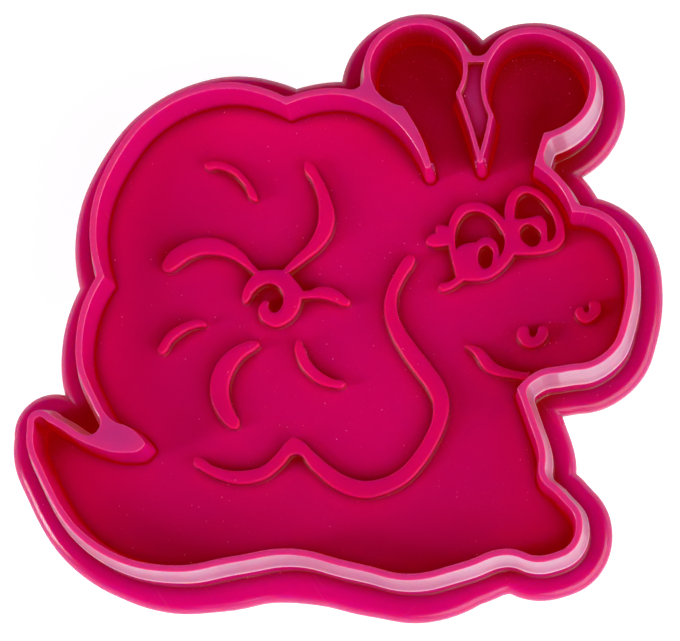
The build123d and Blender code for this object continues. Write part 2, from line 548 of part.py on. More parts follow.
def return_spring():
    """Coiled steel wire between the deck and the knob's floor, one tube on half-turn biarcs."""
    bottom = KNOB_FLOOR + SPRING_SEAT + WIRE_DIAMETER / 2
    top = DECK_UNDER - SPRING_SEAT - WIRE_DIAMETER / 2

    def at(turn):
        angle = 2 * pi * turn
        return Vector(
            SPRING_RADIUS * cos(angle), SPRING_RADIUS * sin(angle), spring_height(turn, bottom, top)
        )

    def along(turn):
        low = max(turn - SLOPE_SPAN, 0)
        high = min(turn + SLOPE_SPAN, SPRING_TURNS)
        rise = (at(high).Z - at(low).Z) / (2 * pi * SPRING_RADIUS * (high - low))
        angle = 2 * pi * turn
        return Vector(-sin(angle), cos(angle), rise).normalized()

    edges = []
    halves = 2 * SPRING_TURNS
    for half in range(halves):
        p, q = at(half / 2), at((half + 1) / 2)
        t, u = along(half / 2), along((half + 1) / 2)
        v = q - p
        vt = v.dot(t + u)
        k = 2 * (1 - t.dot(u))
        d = (sqrt(vt * vt + k * v.dot(v)) - vt) / k
        m = (p + q + (t - u) * d) / 2
        edges.append(TangentArc(p, m, tangent=t))
        c = (m - p).normalized()
        edges.append(TangentArc(m, q, tangent=c * (2 * c.dot(t)) - t))
    path = Wire(edges)
    section = Plane(origin=path @ 0, z_dir=path % 0) * Circle(WIRE_DIAMETER / 2)
    coil = sweep(section, path=path)
    steps = COIL_STEPS * SPRING_TURNS
    points = [path @ (i / steps) for i in range(steps + 1)]
    near = min(
        (points[i] - points[j]).length
        for i in range(len(points)) for j in range(i + COIL_SKIP, len(points))
    )
    print("spring: least gap to itself", round(near - WIRE_DIAMETER, 2),
          "volume against section times length",
          round(coil.volume / (pi * (WIRE_DIAMETER / 2) ** 2 * path.length), 4))
    return coil


os.makedirs("parts", exist_ok=True)
for name, build in (
    ("cutter_shell", cutter_shell),
    ("stamp_plate", stamp_plate),
    ("plunger_stem", plunger_stem),
    ("press_knob", press_knob),
    ("return_spring", return_spring),
):
    solid = build()
    print(name, len(solid.solids()), "solid,", round(solid.volume), "mm3")
    export_step(solid, f"parts/{name}.step")
print("height", round(EDGE_TOP, 2))
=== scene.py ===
"""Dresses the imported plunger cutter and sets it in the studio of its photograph.

The cutter stands on the flat end of its press knob with the cutting edge up. Its rigid pieces are
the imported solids, dressed as moulded plastic with edges that look softly rounded. Only the return
spring is built here, because it shortens when the knob is pressed.
"""

import logging
from dataclasses import dataclass, field
from enum import Enum
from math import cos, pi, radians, sin, tau
from typing import Any, Dict, List, Optional, Sequence, Tuple

import bmesh
import bpy
from mathutils import Matrix, Vector

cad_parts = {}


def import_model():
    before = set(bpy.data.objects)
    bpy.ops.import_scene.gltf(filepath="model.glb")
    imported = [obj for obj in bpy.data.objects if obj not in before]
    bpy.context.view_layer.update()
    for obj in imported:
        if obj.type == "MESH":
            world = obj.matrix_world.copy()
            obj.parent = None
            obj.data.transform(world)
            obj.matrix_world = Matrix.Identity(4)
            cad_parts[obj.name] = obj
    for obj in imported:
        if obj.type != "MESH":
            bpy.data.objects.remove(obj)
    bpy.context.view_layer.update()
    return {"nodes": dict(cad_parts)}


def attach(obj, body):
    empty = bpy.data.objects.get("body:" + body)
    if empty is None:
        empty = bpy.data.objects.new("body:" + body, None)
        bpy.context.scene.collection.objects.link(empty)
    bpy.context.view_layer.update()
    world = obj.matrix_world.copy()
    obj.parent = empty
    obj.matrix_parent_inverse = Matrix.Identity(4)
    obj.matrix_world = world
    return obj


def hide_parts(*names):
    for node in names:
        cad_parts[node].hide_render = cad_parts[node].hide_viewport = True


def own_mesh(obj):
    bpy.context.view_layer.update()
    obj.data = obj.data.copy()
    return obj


LOG = logging.getLogger("plunger_cutter")
MM = 0.001  # metres in a millimetre

# The sRGB curve: its straight foot's end and slope, and the offset and power of the rest.
SRGB_FOOT = 0.04045
SRGB_SLOPE = 12.92
SRGB_OFFSET = 0.055
SRGB_POWER = 2.4
BYTE = 255  # a channel at full strength

Colour = Tuple[float, float, float, float]
Band = Tuple[float, float]  # where a blend starts and where it is complete


class Slot(Enum):
    """Material slots of the record."""

    SHELL = "shell_plastic"
    STAMP = "stamp_plastic"
    PLUNGER = "plunger_plastic"
    SPRING = "spring_steel"


class Body(Enum):
    """Bodies that pieces ride on."""

    CUTTER = "cutter"
    PLUNGER = "plunger"


def linear(code: str) -> Colour:
    """Turns an sRGB hex colour into linear light.

    Args:
        code: The colour as "#rrggbb".

    Returns:
        Linear red, green and blue, and an alpha of one.
    """
    parts = [int(code[i:i + 2], 16) / BYTE for i in (1, 3, 5)]
    light = [
        p / SRGB_SLOPE if p <= SRGB_FOOT else ((p + SRGB_OFFSET) / (1 + SRGB_OFFSET)) ** SRGB_POWER
        for p in parts
    ]
    return (light[0], light[1], light[2], 1.0)


def add_node(tree: bpy.types.NodeTree, kind: str, sockets: Optional[Dict[Any, Any]] = None,
             **settings: Any) -> bpy.types.Node:
    """Adds one node with its settings, its socket values and its links.

    Args:
        tree: The node tree that gets it.
        kind: Blender's name for the node type.
        sockets: What goes into its inputs, by name or number: another node's output is linked,
            anything else is set as the value.
        **settings: Properties of the node itself.

    Returns:
        The new node.
    """
    node = tree.nodes.new(kind)
    for name, value in settings.items():
        setattr(node, name, value)
    for name, value in (sockets or {}).items():
        if isinstance(value, bpy.types.NodeSocket):
            tree.links.new(value, node.inputs[name])
        else:
            node.inputs[name].default_value = value
    return node


def empty_material(name: str) -> Tuple[bpy.types.Material, bpy.types.NodeTree]:
    """Makes a node material without nodes.

    Args:
        name: The material's name.

    Returns:
        The material and its node tree.
    """
    material = bpy.data.materials.new(name)
    material.use_nodes = True
    material.node_tree.nodes.clear()
    return material, material.node_tree


@dataclass(frozen=True)
class MouldedPolypropylene:
    """Pigmented polypropylene, injection moulded.

    To the eye it is glossy with a faint waviness from the polished mould. It is a little
    translucent. Hollows are given a painted shade of deeper red and a painted red glow, most of
    all the two wells of the antennae. The melt's flow clouds the pigment, and handling leaves hair
    scratches, dust and paler, nicked edges, and fine specks of painted glint lie in patches. Where
    a foot height is set, the faces above it that look up or outwards are a cutting edge, which gets
    a painted pale sheen with lengthwise streaks and a painted highlight line at its foot. Lengths
    are in millimetres, and a band says where a blend starts and where it is complete.
    """

    name: str
    pigment: str = "#c8007a"
    flow_pigment: str = "#c00070"
    # painted shade: the deep red that hollows are shaded towards
    deep: str = "#7c0006"
    rubbed: str = "#ec6aa4"
    dust: str = "#f07cae"
    # painted glints: the colour of fine specks that stand in for light caught by the grain
    painted_glint: str = "#e0388c"
    roughness: float = 0.2
    gloss_spread: float = 0.15
    dulling: float = 0.2
    flow_size: float = 22.0
    flow_swirl: float = 1.4
    smudges_per_cloud: float = 3.0
    wave_size: float = 3.0
    wave_depth: float = 0.012
    grain_size: float = 0.12
    grain_depth: float = 0.002
    scratch_gap: float = 0.3
    scratch_length: float = 9.0
    scratch_depth: float = 0.003
    scratch_share: float = 0.12
    scratch_runs: Tuple[Tuple[float, float], ...] = ((35.0, 0.0), (-50.0, 7.0))  # degrees, seed
    scratch_band: Band = (0.72, 0.78)
    speck_gap: float = 1.2
    speck_radius: float = 0.08
    speck_share: float = 0.6
    least_speck: float = 0.4  # the smallest, as a share of the largest
    # painted glints: spacing, size and share of their specks
    painted_glint_gap: float = 0.3
    painted_glint_radius: float = 0.06
    painted_glint_share: float = 0.5
    patch_size: float = 9.0
    patch_band: Band = (0.4, 0.7)
    edge_radius: float = 0.3
    wear_width: float = 0.2
    wear_band: Band = (0.9, 0.45)
    wear_share: float = 0.4
    nick_size: float = 0.5
    nick_band: Band = (0.38, 0.6)
    # painted shade and glow: how far occlusion is sought, where the painted shade fades out, and the
    # painted glow
    pocket_reach: float = 3.0
    pocket_band: Band = (0.42, 0.8)
    hollow_reach: float = 9.0
    hollow_band: Band = (0.2, 0.46)
    hollow_glow: float = 0.2
    glow_tint: str = "#ff0008"
    # painted shade: where the antennae's wells lie and how much darker they are shaded
    well_x: Band = (1.0, 5.0)
    well_y: Band = (14.5, 19.0)
    well_shade: float = 0.16
    sheen_foot: float = 0.0
    # painted pale sheen on the cutting edge's bevel, in two streaked tones
    bevel_sheen: str = "#b0688e"
    streak: str = "#c890b0"
    # painted highlight line along the bevel's foot: its colour, height and strength
    foot_highlight: str = "#f6d6e8"
    foot_line: float = 0.9
    foot_share: float = 0.9
    # painted pale sheen on the cutting edge's land
    land_sheen: str = "#c83084"
    outward_band: Band = (0.08, 0.11)
    upward_band: Band = (0.3, 0.9)
    land_band: Band = (0.6, 0.85)
    streak_size: float = 0.3
    streak_length: float = 9.0
    translucency: float = 1.0
    red_path: float = 4.0  # how far red light travels in the plastic
    path_shares: Tuple[float, float, float] = (1.0, 0.02, 0.06)  # red, green and blue, of red_path
    rays: int = 8
    wear_rays: int = 6
    ior: float = 1.49
    shine: float = 0.5

    def material(self) -> bpy.types.Material:
        """Builds the finish.

        Returns:
            The material.
        """
        material, tree = empty_material(self.name)
        place = add_node(tree, "ShaderNodeTexCoord").outputs["Object"]
        scratches = self._scratches(tree, place)
        wear = self._wear(tree, place)
        openness = add_node(tree, "ShaderNodeAmbientOcclusion", {
            "Distance": self.hollow_reach * MM,
        }, samples=self.rays).outputs["AO"]
        near_openness = add_node(tree, "ShaderNodeAmbientOcclusion", {
            "Distance": self.pocket_reach * MM,
        }, samples=self.rays).outputs["AO"]
        colour = self._pigment(tree, place, openness, near_openness)
        # painted pale sheen on the cutting edge
        if self.sheen_foot:
            colour = self._painted_edge_sheen(tree, place, colour, near_openness)
        colour = self._marked(tree, place, colour, scratches, wear)
        roughness = self._gloss(tree, place, wear)
        normal = self._relief(tree, place, scratches)
        shader = add_node(tree, "ShaderNodeBsdfPrincipled", {
            "Base Color": colour,
            "Roughness": roughness,
            "Normal": normal,
            "IOR": self.ior,
            "Specular IOR Level": self.shine,
            "Subsurface Weight": self.translucency,
            "Subsurface Radius": self.path_shares,
            "Subsurface Scale": self.red_path * MM,
            # painted red glow in hollows and gaps, standing in for light passed through thin walls
            "Emission Color": linear(self.glow_tint),
            "Emission Strength": self._glow(tree, openness),
        }, subsurface_method="RANDOM_WALK")
        add_node(tree, "ShaderNodeOutputMaterial", {"Surface": shader.outputs["BSDF"]})
        return material

    def _scratches(self, tree: bpy.types.NodeTree, place: bpy.types.NodeSocket) -> bpy.types.NodeSocket:
        """Draws hair scratches in two directions, drawn wider than real ones so that they show.

        Args:
            tree: The finish's node tree.
            place: Object coordinates.

        Returns:
            One on a scratch and zero elsewhere.
        """
        marks = []
        for turn, seed in self.scratch_runs:
            across = add_node(tree, "ShaderNodeMapping", {
                "Vector": place, "Location": (seed, seed, seed), "Rotation": (0.0, 0.0, radians(turn)),
                "Scale": (self.scratch_gap * MM, self.scratch_length * MM, self.scratch_length * MM),
            }, vector_type="TEXTURE")
            lines = add_node(tree, "ShaderNodeTexNoise", {
                "Vector": across.outputs["Vector"], "Scale": 1.0, "Detail": 1.0,
            })
            mark = add_node(tree, "ShaderNodeMapRange", {
                "Value": lines.outputs["Fac"],
                "From Min": self.scratch_band[0], "From Max": self.scratch_band[1],
            })
            marks.append(mark.outputs["Result"])
        both = add_node(tree, "ShaderNodeMath", {0: marks[0], 1: marks[1]}, operation="MAXIMUM")
        return both.outputs["Value"]

    def _wear(self, tree: bpy.types.NodeTree, place: bpy.types.NodeSocket) -> bpy.types.NodeSocket:
        """Finds the outer edges, where handling rubs the plastic pale, broken by small nicks.

        Args:
            tree: The finish's node tree.
            place: Object coordinates.

        Returns:
            Up to one on a worn edge and zero elsewhere.
        """
        inside = add_node(tree, "ShaderNodeAmbientOcclusion", {
            "Distance": self.wear_width * MM,
        }, samples=self.wear_rays, inside=True, only_local=True)
        edge = add_node(tree, "ShaderNodeMapRange", {
            "Value": inside.outputs["AO"],
            "From Min": self.wear_band[0], "From Max": self.wear_band[1],
        })
        nicks = add_node(tree, "ShaderNodeTexNoise", {
            "Vector": place, "Scale": 1 / (self.nick_size * MM), "Detail": 3.0,
        })
        kept = add_node(tree, "ShaderNodeMapRange", {
            "Value": nicks.outputs["Fac"], "From Min": self.nick_band[0],
            "From Max": self.nick_band[1], "To Max": self.wear_share,
        })
        worn = add_node(tree, "ShaderNodeMath", {
            0: edge.outputs["Result"], 1: kept.outputs["Result"],
        }, operation="MULTIPLY")
        return worn.outputs["Value"]

    def _specks(self, tree: bpy.types.NodeTree, place: bpy.types.NodeSocket, gap: float,
                radius: float, share: float) -> bpy.types.NodeSocket:
        """Scatters specks in loose patches.

        Args:
            tree: The finish's node tree.
            place: Object coordinates.
            gap: Millimetres between neighbours where every speck is kept.
            radius: The largest speck's radius in millimetres.
            share: Share of the specks that the middle of a patch keeps.

        Returns:
            One on a speck and zero elsewhere.
        """
        cells = add_node(tree, "ShaderNodeTexVoronoi", {"Vector": place, "Scale": 1 / (gap * MM)})
        chance = add_node(tree, "ShaderNodeSeparateColor", {"Color": cells.outputs["Color"]})
        patches = add_node(tree, "ShaderNodeTexNoise", {
            "Vector": place, "Scale": 1 / (self.patch_size * MM), "Detail": 2.0, "W": gap,
        }, noise_dimensions="4D")
        kept = add_node(tree, "ShaderNodeMapRange", {
            "Value": patches.outputs["Fac"], "From Min": self.patch_band[0],
            "From Max": self.patch_band[1], "To Max": share,
        })
        picked = add_node(tree, "ShaderNodeMath", {
            0: chance.outputs["Red"], 1: kept.outputs["Result"],
        }, operation="LESS_THAN")
        size = add_node(tree, "ShaderNodeMapRange", {
            "Value": chance.outputs["Green"],
            "To Min": self.least_speck * radius / gap, "To Max": radius / gap,
        })
        near = add_node(tree, "ShaderNodeMath", {
            0: cells.outputs["Distance"], 1: size.outputs["Result"],
        }, operation="LESS_THAN")
        speck = add_node(tree, "ShaderNodeMath", {
            0: picked.outputs["Value"], 1: near.outputs["Value"],
        }, operation="MULTIPLY")
        return speck.outputs["Value"]

    def _glow(self, tree: bpy.types.NodeTree, openness: bpy.types.NodeSocket) -> bpy.types.NodeSocket:
        """Stands in for the red light that thin walls pass into hollows and narrow gaps.

        Args:
            tree: The finish's node tree.
            openness: One in the open and zero deep in a gap.

        Returns:
            The strength of the glow.
        """
        glow = add_node(tree, "ShaderNodeMapRange", {
            "Value": openness, "From Min": 1.0, "From Max": 0.0, "To Max": self.hollow_glow,
        })
        return glow.outputs["Result"]

    def _pigment(self, tree: bpy.types.NodeTree, place: bpy.types.NodeSocket,
                 openness: bpy.types.NodeSocket,
                 near_openness: bpy.types.NodeSocket) -> bpy.types.NodeSocket:
        """Mixes the pigment's flow clouds and paints shade into hollows, most of all into the
        antennae's wells.

        Args:
            tree: The finish's node tree.
            place: Object coordinates.
            openness: One in the open and zero deep in a gap.
            near_openness: The same within a pocket's reach.

        Returns:
            The colour.
        """
        clouds = add_node(tree, "ShaderNodeTexNoise", {
            "Vector": place, "Scale": 1 / (self.flow_size * MM), "Detail": 3.0,
            "Distortion": self.flow_swirl,
        })
        base = add_node(tree, "ShaderNodeMix", {
            "Factor": clouds.outputs["Fac"], "A": linear(self.pigment), "B": linear(self.flow_pigment),
        }, data_type="RGBA")
        # Painted shade by position: over the antennae's wells the openness is lowered, so they are
        # shaded darker.
        spot = add_node(tree, "ShaderNodeSeparateXYZ", {"Vector": place})
        along = add_node(tree, "ShaderNodeMapRange", {
            "Value": spot.outputs["X"], "From Min": self.well_x[0] * MM,
            "From Max": self.well_x[1] * MM, "To Max": self.well_shade,
        }, interpolation_type="SMOOTHSTEP")
        across = add_node(tree, "ShaderNodeMapRange", {
            "Value": spot.outputs["Y"], "From Min": self.well_y[0] * MM,
            "From Max": self.well_y[1] * MM, "To Max": -1.0,
        }, interpolation_type="SMOOTHSTEP")
        shaded = add_node(tree, "ShaderNodeMath", {
            0: along.outputs["Result"], 1: across.outputs["Result"], 2: openness,
        }, operation="MULTIPLY_ADD")
        wide = add_node(tree, "ShaderNodeMapRange", {
            "Value": shaded.outputs["Value"],
            "From Min": self.hollow_band[0], "From Max": self.hollow_band[1],
        }, interpolation_type="SMOOTHSTEP")
        narrow = add_node(tree, "ShaderNodeMapRange", {
            "Value": near_openness,
            "From Min": self.pocket_band[0], "From Max": self.pocket_band[1],
        }, interpolation_type="SMOOTHSTEP")
        lit = add_node(tree, "ShaderNodeMath", {
            0: wide.outputs["Result"], 1: narrow.outputs["Result"],
        }, operation="MULTIPLY")
        # painted shade: the deep colour takes over where little light reaches
        with_painted_shade = add_node(tree, "ShaderNodeMix", {
            "Factor": lit.outputs["Value"], "A": linear(self.deep), "B": base.outputs["Result"],
        }, data_type="RGBA")
        return with_painted_shade.outputs["Result"]

    def _painted_edge_sheen(self, tree: bpy.types.NodeTree, place: bpy.types.NodeSocket,
                 colour: bpy.types.NodeSocket,
                 near_openness: bpy.types.NodeSocket) -> bpy.types.NodeSocket:
        """Paints a pale sheen on the cutting edge's flat land, a streaked one on its outer bevel and a
        highlight line at the bevel's foot.

        Args:
            tree: The finish's node tree.
            place: Object coordinates.
            colour: The colour elsewhere.
            near_openness: One in the open and zero deep in a pocket, where no sheen is painted.

        Returns:
            The colour.
        """
        height = add_node(tree, "ShaderNodeSeparateXYZ", {"Vector": place})
        above = add_node(tree, "ShaderNodeMath", {
            0: height.outputs["Z"], 1: self.sheen_foot * MM,
        }, operation="GREATER_THAN")
        normal = add_node(tree, "ShaderNodeNewGeometry").outputs["True Normal"]
        facing = add_node(tree, "ShaderNodeSeparateXYZ", {"Vector": normal})
        outward = add_node(tree, "ShaderNodeMapRange", {
            "Value": facing.outputs["Z"],
            "From Min": self.outward_band[0], "From Max": self.outward_band[1],
        })
        upward = add_node(tree, "ShaderNodeMapRange", {
            "Value": facing.outputs["Z"],
            "From Min": self.upward_band[0], "From Max": self.upward_band[1],
        })
        lines = add_node(tree, "ShaderNodeMapping", {
            "Vector": place,
            "Scale": (self.streak_length * MM, self.streak_length * MM, self.streak_size * MM),
        }, vector_type="TEXTURE")
        streaks = add_node(tree, "ShaderNodeTexNoise", {
            "Vector": lines.outputs["Vector"], "Scale": 1.0,
        })
        # painted pale sheen on the bevel, streaked lengthwise
        bevel = add_node(tree, "ShaderNodeMix", {
            "Factor": streaks.outputs["Fac"], "A": linear(self.bevel_sheen), "B": linear(self.streak),
        }, data_type="RGBA")
        # painted highlight line at the bevel's foot
        foot = add_node(tree, "ShaderNodeMapRange", {
            "Value": height.outputs["Z"], "From Min": self.sheen_foot * MM,
            "From Max": (self.sheen_foot + self.foot_line) * MM,
            "To Min": self.foot_share, "To Max": 0.0,
        })
        with_foot_highlight = add_node(tree, "ShaderNodeMix", {
            "Factor": foot.outputs["Result"], "A": bevel.outputs["Result"], "B": linear(self.foot_highlight),
        }, data_type="RGBA")
        land_sheen_reach = add_node(tree, "ShaderNodeMapRange", {
            "Value": near_openness,
            "From Min": self.land_band[0], "From Max": self.land_band[1],
        })
        # painted pale sheen on the land where it is open
        land = add_node(tree, "ShaderNodeMix", {
            "Factor": land_sheen_reach.outputs["Result"], "A": colour, "B": linear(self.land_sheen),
        }, data_type="RGBA")
        edge = add_node(tree, "ShaderNodeMix", {
            "Factor": upward.outputs["Result"],
            "A": with_foot_highlight.outputs["Result"], "B": land.outputs["Result"],
        }, data_type="RGBA")
        where = add_node(tree, "ShaderNodeMath", {
            0: above.outputs["Value"], 1: outward.outputs["Result"],
        }, operation="MULTIPLY")
        result = add_node(tree, "ShaderNodeMix", {
            "Factor": where.outputs["Value"], "A": colour, "B": edge.outputs["Result"],
        }, data_type="RGBA")
        return result.outputs["Result"]

    def _marked(self, tree: bpy.types.NodeTree, place: bpy.types.NodeSocket,
                colour: bpy.types.NodeSocket, scratches: bpy.types.NodeSocket,
                wear: bpy.types.NodeSocket) -> bpy.types.NodeSocket:
        """Adds the scratches, the rubbed edges, painted glints and the dust.

        Args:
            tree: The finish's node tree.
            place: Object coordinates.
            colour: The colour of the clean plastic.
            scratches: One on a scratch.
            wear: Up to one on a worn edge.

        Returns:
            The colour.
        """
        faint = add_node(tree, "ShaderNodeMath", {
            0: scratches, 1: self.scratch_share,
        }, operation="MULTIPLY")
        paler = add_node(tree, "ShaderNodeMath", {
            0: faint.outputs["Value"], 1: wear,
        }, operation="MAXIMUM")
        rubbed = add_node(tree, "ShaderNodeMix", {
            "Factor": paler.outputs["Value"], "A": colour, "B": linear(self.rubbed),
        }, data_type="RGBA")
        # painted glints: fine specks in loose patches
        fine = self._specks(tree, place, self.painted_glint_gap, self.painted_glint_radius, self.painted_glint_share)
        with_painted_glints = add_node(tree, "ShaderNodeMix", {
            "Factor": fine, "A": rubbed.outputs["Result"], "B": linear(self.painted_glint),
        }, data_type="RGBA")
        coarse = self._specks(tree, place, self.speck_gap, self.speck_radius, self.speck_share)
        dusty = add_node(tree, "ShaderNodeMix", {
            "Factor": coarse, "A": with_painted_glints.outputs["Result"], "B": linear(self.dust),
        }, data_type="RGBA")
        return dusty.outputs["Result"]

    def _gloss(self, tree: bpy.types.NodeTree, place: bpy.types.NodeSocket,
               wear: bpy.types.NodeSocket) -> bpy.types.NodeSocket:
        """Varies the gloss where hands and dough have dulled it.

        Args:
            tree: The finish's node tree.
            place: Object coordinates.
            wear: Up to one on a worn edge.

        Returns:
            The roughness.
        """
        smudge = add_node(tree, "ShaderNodeTexNoise", {
            "Vector": place, "Scale": self.smudges_per_cloud / (self.flow_size * MM), "Detail": 4.0,
        })
        rough = add_node(tree, "ShaderNodeMapRange", {
            "Value": smudge.outputs["Fac"],
            "To Min": self.roughness * (1 - self.gloss_spread),
            "To Max": self.roughness * (1 + self.gloss_spread),
        })
        dulled = add_node(tree, "ShaderNodeMath", {
            0: wear, 1: self.dulling, 2: rough.outputs["Result"],
        }, operation="MULTIPLY_ADD")
        return dulled.outputs["Value"]

    def _relief(self, tree: bpy.types.NodeTree, place: bpy.types.NodeSocket,
                scratches: bpy.types.NodeSocket) -> bpy.types.NodeSocket:
        """Rounds the edges to the eye and raises the mould's waviness, the grain and the scratches.

        Args:
            tree: The finish's node tree.
            place: Object coordinates.
            scratches: One on a scratch.

        Returns:
            The shading normal.
        """
        rounded = add_node(tree, "ShaderNodeBevel", {
            "Radius": self.edge_radius * MM,
        }, samples=self.rays)
        wave = add_node(tree, "ShaderNodeTexNoise", {
            "Vector": place, "Scale": 1 / (self.wave_size * MM), "Detail": 1.0,
        })
        waves = add_node(tree, "ShaderNodeBump", {
            "Height": wave.outputs["Fac"], "Distance": self.wave_depth * MM,
            "Normal": rounded.outputs["Normal"],
        })
        grain = add_node(tree, "ShaderNodeTexNoise", {
            "Vector": place, "Scale": 1 / (self.grain_size * MM), "Detail": 2.0,
        })
        grains = add_node(tree, "ShaderNodeBump", {
            "Height": grain.outputs["Fac"], "Distance": self.grain_depth * MM,
            "Normal": waves.outputs["Normal"],
        })
        scored = add_node(tree, "ShaderNodeBump", {
            "Height": scratches, "Distance": self.scratch_depth * MM,
            "Normal": grains.outputs["Normal"],
        }, invert=True)
        return scored.outputs["Normal"]


@dataclass(frozen=True)
class SpringWire:
    """Drawn spring steel: bright grey, with fine lines from the drawing die along the wire."""

    name: str = "drawn_spring_steel"
    steel: str = "#a9aaad"
    shade: str = "#85878b"
    roughness: float = 0.32
    line_size: float = 0.15
    line_depth: float = 0.00375

    def material(self) -> bpy.types.Material:
        """Builds the finish.

        Returns:
            The material.
        """
        material, tree = empty_material(self.name)
        place = add_node(tree, "ShaderNodeTexCoord").outputs["Object"]
        lines = add_node(tree, "ShaderNodeTexNoise", {
            "Vector": place, "Scale": 1 / (self.line_size * MM), "Detail": 2.0,
        })
        colour = add_node(tree, "ShaderNodeMix", {
            "Factor": lines.outputs["Fac"], "A": linear(self.steel), "B": linear(self.shade),
        }, data_type="RGBA")
        bump = add_node(tree, "ShaderNodeBump", {
            "Height": lines.outputs["Fac"], "Distance": self.line_depth * MM,
        })
        shader = add_node(tree, "ShaderNodeBsdfPrincipled", {
            "Base Color": colour.outputs["Result"],
            "Metallic": 1.0,
            "Roughness": self.roughness,
            "Normal": bump.outputs["Normal"],
        })
        add_node(tree, "ShaderNodeOutputMaterial", {"Surface": shader.outputs["BSDF"]})
        return material


def finish_node(node: bpy.types.Object, finish: bpy.types.Material) -> None:
    """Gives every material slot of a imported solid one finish."""
    for place in node.material_slots:
        place.material = finish


def report_piece(node: bpy.types.Object, body: Body, slot: Slot) -> None:
    """Logs a piece with its body, its slot and its number of faces."""
    LOG.info("%s on %s, %s: %d faces", node.name, body.value, slot.value, len(node.data.polygons))


@dataclass
class CutterShell:
    """Skirt with its bevelled cutting edge, finger flange, deck and guide collar."""

    finish: MouldedPolypropylene = field(default_factory=lambda: MouldedPolypropylene(
        name="moulded_polypropylene_gloss",
        # height above which the cutting edge gets its painted sheen
        sheen_foot=29.3,
        well_shade=0.24,
    # a stronger painted shade in the antennae's wells
    ))
    body: Body = Body.CUTTER
    slot: Slot = Slot.SHELL

    def dress(self, node: bpy.types.Object) -> None:
        """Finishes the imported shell."""
        finish_node(node, self.finish.material())
        report_piece(node, self.body, self.slot)


@dataclass
class StampPlate:
    """Embossed ejector plate with its raised lines."""

    finish: MouldedPolypropylene = field(default_factory=lambda: MouldedPolypropylene(
        name="moulded_polypropylene_satin",
        pigment="#d8006c",
        flow_pigment="#d00064",
        roughness=0.31,
        grain_size=0.3,
        grain_depth=0.004,
        scratch_share=0.0,
        scratch_depth=0.0,
        speck_gap=0.8,
        speck_share=0.9,
        edge_radius=0.5,
        shine=0.15,
        wear_share=0.0,
    ))
    body: Body = Body.PLUNGER
    slot: Slot = Slot.STAMP

    def dress(self, node: bpy.types.Object) -> None:
        """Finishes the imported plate."""
        finish_node(node, self.finish.material())
        report_piece(node, self.body, self.slot)


@dataclass
class Plunger:
    """Stem and press knob."""

    finish: MouldedPolypropylene = field(default_factory=lambda: MouldedPolypropylene(
        name="moulded_polypropylene_knob",
        # painted shade of the knob's hollows, and a faint painted glow
        deep="#b4006c",
        roughness=0.32,
        hollow_glow=0.05,
    ))
    body: Body = Body.PLUNGER
    slot: Slot = Slot.PLUNGER

    def dress(self, nodes: Sequence[bpy.types.Object]) -> None:
        """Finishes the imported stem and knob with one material."""
        material = self.finish.material()
        for node in nodes:
            finish_node(node, material)
            report_piece(node, self.body, self.slot)


@dataclass
class ReturnSpring:
    """Compression spring round the stem, between the knob's floor and the deck."""

    wire: float = 1.0
    radius: float = 7.0
    floor: float = 2.6
    deck: float = 22.6
    seat: float = 0.1
    turns: int = 6
    end_pitch: float = 1.5
    travel: float = 8.0
    sides: int = 14
    steps_per_turn: int = 48
    weld: float = 0.001
    finish: SpringWire = field(default_factory=SpringWire)

    def build(self) -> bpy.types.Object:
        """Coils the wire by spinning its section, with closed end turns.

        Returns:
            The spring's object.
        """
        bottom = self.floor + self.seat + self.wire / 2
        top = self.deck - self.seat - self.wire / 2
        middle = (top - bottom - 2 * self.end_pitch) / (self.turns - 2)
        bm = bmesh.new()
        place = Matrix.Translation((self.radius * MM, 0, bottom * MM)) @ Matrix.Rotation(pi / 2, 4, "X")
        bmesh.ops.create_circle(bm, cap_ends=True, segments=self.sides, radius=self.wire / 2 * MM,
                                matrix=place)
        section = list(bm.faces)
        runs = [(1, self.end_pitch), (self.turns - 2, middle), (1, self.end_pitch)]
        for turns, pitch in runs:
            steps = turns * self.steps_per_turn
            spun = bmesh.ops.spin(bm, geom=section, cent=(0, 0, 0), axis=(0, 0, 1),
                                  dvec=(0, 0, pitch * turns * MM / steps), angle=turns * tau,
                                  steps=steps, use_duplicate=False)
            section = [piece for piece in spun["geom_last"] if isinstance(piece, bmesh.types.BMFace)]
        bmesh.ops.remove_doubles(bm, verts=bm.verts, dist=self.weld * MM)
        bmesh.ops.recalc_face_normals(bm, faces=bm.faces)
        for face in bm.faces:
            face.smooth = len(face.verts) == 4
        mesh = bpy.data.meshes.new("spring_coil")
        bm.to_mesh(mesh)
        bm.free()
        coil = bpy.data.objects.new("spring_coil", mesh)
        bpy.context.scene.collection.objects.link(coil)
        coil.data.materials.append(self.finish.material())
        return coil

    def seat_on_frame(self) -> None:
        """Builds the coil, seats it against the deck and hangs it on the cutter's body."""
        coil = self.build()
        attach(coil, Body.CUTTER.value)
        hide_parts("return_spring")
        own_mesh(coil)
        report_piece(coil, Body.CUTTER, Slot.SPRING)


